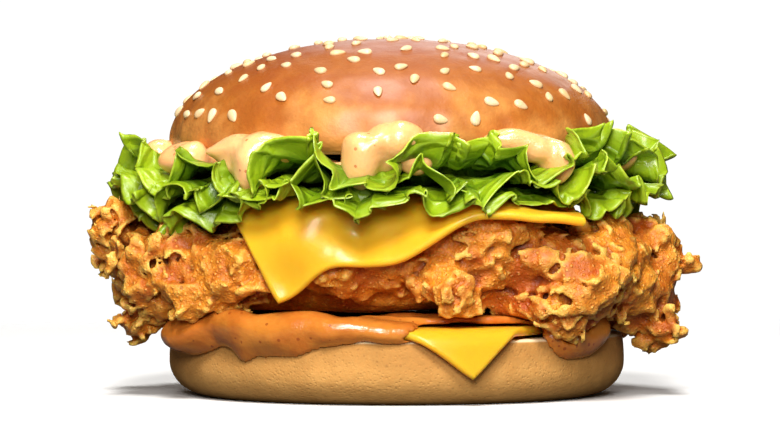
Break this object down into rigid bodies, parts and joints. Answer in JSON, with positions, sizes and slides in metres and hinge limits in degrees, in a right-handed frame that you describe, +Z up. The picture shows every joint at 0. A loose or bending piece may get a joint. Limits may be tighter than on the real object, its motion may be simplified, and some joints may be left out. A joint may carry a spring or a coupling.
{
  "type": "chicken burger",
  "caption": "Fried chicken burger in a seeded bun, with draped cheese, ruffled lettuce and sauce running over the rims; rests on its flat underside.",
  "frame": {"origin": "centre of the whole burger's outline seen from above, at the flat underside of the bun base", "axes": "+Z up through the stack, +X to the right as the front is seen and along the fillet's long way, -Y towards the front, where the slices of cheese hang down"},
  "size_m": [0.1524, 0.136, 0.0893],
  "materials": {
    "bun_top": "glossy baked crust, lighter towards the lip",
    "bun_base": "matte toasted bread",
    "cheese": "soft, warm and slightly glossy",
    "chicken": "craggy fried crust with an oily sheen",
    "lettuce": "crisp leaf, pale at the margin",
    "sauce_upper": "glossy pale sauce with small specks",
    "sauce_lower": "glossy orange sauce"
  },
  "bodies": {
    "root": {"bun_base": "bun_base", "cheese_lower": "cheese", "sauce_lower": "sauce_lower", "chicken": "chicken", "cheese_upper": "cheese", "lettuce_lower_front": "lettuce", "lettuce_lower_back": "lettuce", "lettuce_middle_left": "lettuce", "lettuce_middle_right": "lettuce", "lettuce_upper_left": "lettuce", "lettuce_upper_right": "lettuce", "lettuce_upper_back": "lettuce", "sauce_upper": "sauce_upper", "bun_top": "bun_top"}
  },
  "joints": []
}
